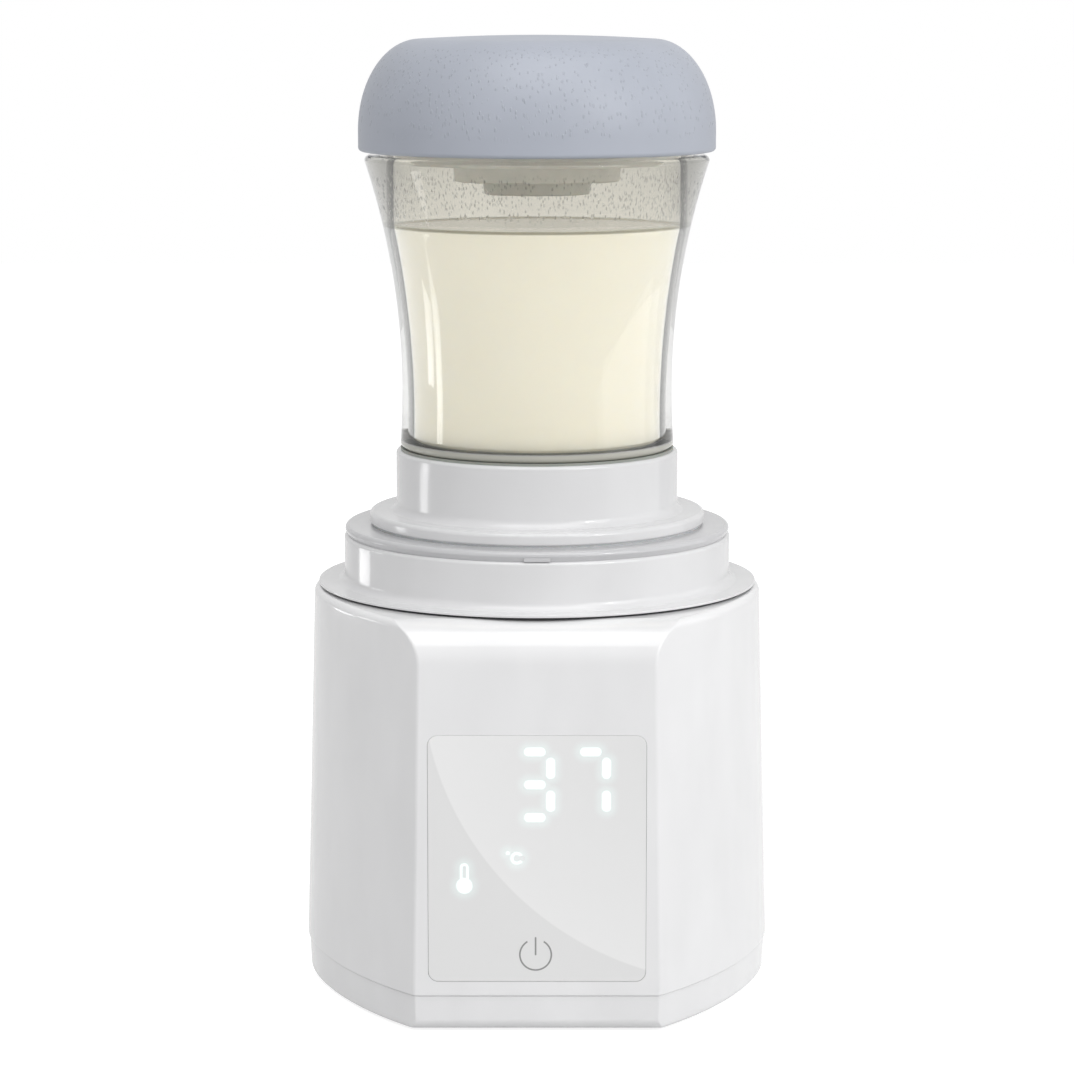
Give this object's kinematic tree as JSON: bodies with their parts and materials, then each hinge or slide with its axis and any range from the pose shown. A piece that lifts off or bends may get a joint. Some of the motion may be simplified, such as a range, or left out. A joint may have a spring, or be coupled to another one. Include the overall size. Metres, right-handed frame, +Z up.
{
  "type": "portable bottle warmer",
  "caption": "Upright cordless warmer: a tapered white body with a display and heated neck, threaded adapters, and a flared clear container of milk closed by a domed grey lid.",
  "frame": {"origin": "on the surface that the warmer stands on, midway between the body's sides and between its front and back", "axes": "+X to the right as seen from the front, +Y to the back, +Z up; the display faces -Y"},
  "size_m": [0.1032, 0.1098, 0.2078],
  "materials": {
    "shell_white": "glossy moulded ABS",
    "cover_white": "glossy moulded ABS",
    "feet_rubber": "matt moulded rubber",
    "steel_screw": "plated steel",
    "lens_pearl": "glossy translucent pearl panel",
    "light_digits": "lit acrylic light pipe",
    "light_icons": "lit acrylic light pipe",
    "guide_white": "satin white plastic",
    "board_green": "solder-masked board",
    "led_yellow": "light-emitting chips",
    "electrode_copper": "copper foil and pin",
    "parts_black": "moulded electronic parts",
    "socket_steel": "stamped steel",
    "cable_grey": "flat laminated cable",
    "wire_red": "silicone-covered wire",
    "wire_black": "silicone-covered wire",
    "tray_grey": "moulded flame-resistant plastic",
    "cell_wrap": "wrapped cell can",
    "tab_nickel": "nickel strip",
    "collar_white": "glossy moulded plastic",
    "gasket_black": "black silicone rubber",
    "tower_grey": "heat-resistant plastic",
    "plate_steel": "brushed stainless steel",
    "seal_black": "black silicone rubber",
    "element_foil": "etched foil heater",
    "pad_tan": "glass-fibre felt",
    "sensor_black": "epoxy bead",
    "fuse_tin": "tinned metal can",
    "adapter_grey": "satin moulded plastic",
    "seal_grey": "translucent grey silicone",
    "adapter_white": "glossy moulded plastic",
    "clear_glass": "clear, smooth, slightly green at the edges",
    "stopper_grey": "satin grey plastic",
    "stopper_gasket_grey": "grey silicone rubber",
    "lid_blue_grey": "matt blue-grey plastic"
  },
  "bodies": {
    "base": {"body_shell": "shell_white", "base_cover": "cover_white", "rubber_feet": "feet_rubber", "base_screws": "steel_screw", "display_lens": "lens_pearl", "display_digits": "light_digits", "display_icons": "light_icons", "light_guide": "guide_white", "display_board": "board_green", "display_leds": "led_yellow", "display_screws": "steel_screw", "touch_electrode": "electrode_copper", "main_board": "board_green", "board_parts": "parts_black", "usb_socket": "socket_steel", "display_cable": "cable_grey", "heater_leads": "wire_red", "battery_leads": "wire_black", "battery_tray": "tray_grey", "battery_cap": "tray_grey", "battery_cells": "cell_wrap", "cell_tabs": "tab_nickel", "pack_bolt": "steel_screw", "collar": "collar_white", "collar_gasket": "gasket_black", "collar_screws": "steel_screw", "heater_tower": "tower_grey", "heating_plate": "plate_steel", "plate_seal": "seal_black", "heater_element": "element_foil", "insulation_pad": "pad_tan", "temperature_sensor": "sensor_black", "thermal_fuse": "fuse_tin"},
    "outer_adapter_rise": {"outer_adapter_seal": "seal_grey"},
    "outer_adapter": {"outer_adapter": "adapter_grey"},
    "inner_adapter_rise": {"inner_adapter_seal": "seal_grey"},
    "inner_adapter": {"inner_adapter": "adapter_white"},
    "container_rise": {"container_foot_ring": "seal_grey"},
    "container": {"container": "clear_glass"},
    "stopper": {"stopper": "stopper_grey", "stopper_gasket": "stopper_gasket_grey"},
    "lid": {"lid": "lid_blue_grey"}
  },
  "joints": [
    {"name": "outer_adapter_lift", "type": "slide", "parent": "base", "child": "outer_adapter_rise", "axis": [0, 0, 1], "range_m": [0, 0.0262]},
    {"name": "outer_adapter_turn", "type": "hinge", "parent": "outer_adapter_rise", "child": "outer_adapter", "pos_m": [0, 0, 0.0988], "axis": [0, 0, 1], "range_deg": [0, 360]},
    {"name": "inner_adapter_lift", "type": "slide", "parent": "outer_adapter", "child": "inner_adapter_rise", "axis": [0, 0, 1], "range_m": [0, 0.0262]},
    {"name": "inner_adapter_turn", "type": "hinge", "parent": "inner_adapter_rise", "child": "inner_adapter", "pos_m": [0, 0, 0.1013], "axis": [0, 0, 1], "range_deg": [0, 360]},
    {"name": "container_lift", "type": "slide", "parent": "inner_adapter", "child": "container_rise", "axis": [0, 0, 1], "range_m": [0, 0.0162]},
    {"name": "container_turn", "type": "hinge", "parent": "container_rise", "child": "container", "pos_m": [0, 0, 0.1179], "axis": [0, 0, 1], "range_deg": [0, 360]},
    {"name": "lid_lift", "type": "slide", "parent": "container", "child": "stopper", "axis": [0, 0, 1], "range_m": [0, 0.0212]},
    {"name": "lid_turn", "type": "hinge", "parent": "stopper", "child": "lid", "pos_m": [0, 0, 0.1828], "axis": [0, 0, 1], "range_deg": [0, 360]}
  ],
  "couplings": [
    {"joint": "outer_adapter_lift", "follows": "outer_adapter_turn", "m_per_rad": 0.004138},
    {"joint": "inner_adapter_lift", "follows": "inner_adapter_turn", "m_per_rad": 0.004138},
    {"joint": "container_lift", "follows": "container_turn", "m_per_rad": 0.0025465},
    {"joint": "lid_lift", "follows": "lid_turn", "m_per_rad": 0.0033423}
  ]
}
